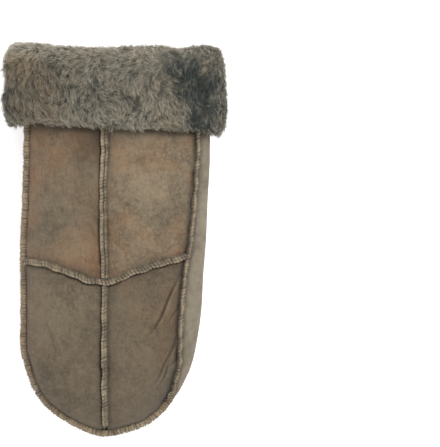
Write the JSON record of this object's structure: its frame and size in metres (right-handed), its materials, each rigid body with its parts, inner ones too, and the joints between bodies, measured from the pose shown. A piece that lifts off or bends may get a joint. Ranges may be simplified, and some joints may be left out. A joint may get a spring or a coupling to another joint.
{
  "type": "fur mitten",
  "caption": "Left-hand sheepskin mitten: whip-stitched suede panels, a thumb folded over the palm, and a turned-back cuff of deep wool.",
  "frame": {"origin": "middle of the bounding box's underside, where the mitten lies on the ground", "axes": "+Y from the finger tip to the mouth of the cuff, +Z out of the back of the hand, +X towards the little-finger side"},
  "size_m": [0.1584, 0.272, 0.067],
  "materials": {
    "suede": "napped suede, brown with olive and orange-brown patches",
    "seam": "raised suede seams, worn pale, closely whip-stitched",
    "wool": "short dense sheepskin wool, grey-olive with dark partings"
  },
  "bodies": {
    "root": {"back_upper_thumb_side": "suede", "back_upper_finger_side": "suede", "back_lower_thumb_side": "suede", "back_lower_finger_side": "suede", "side_strip": "suede", "palm_upper": "suede", "palm_middle": "suede", "palm_tip": "suede", "thumb_outer_leaf": "suede", "thumb_inner_leaf": "suede", "cuff_band": "suede", "seam_back_center_upper": "seam", "seam_back_center_lower": "seam", "seam_back_cross": "seam", "seam_strip_back": "seam", "seam_strip_palm": "seam", "seam_palm_diagonal": "seam", "seam_palm_crotch": "seam", "seam_edge": "seam", "seam_thumb_edge": "seam", "seam_thumb_root": "seam", "seam_wrist": "seam", "fur_cuff": "wool"}
  },
  "joints": []
}
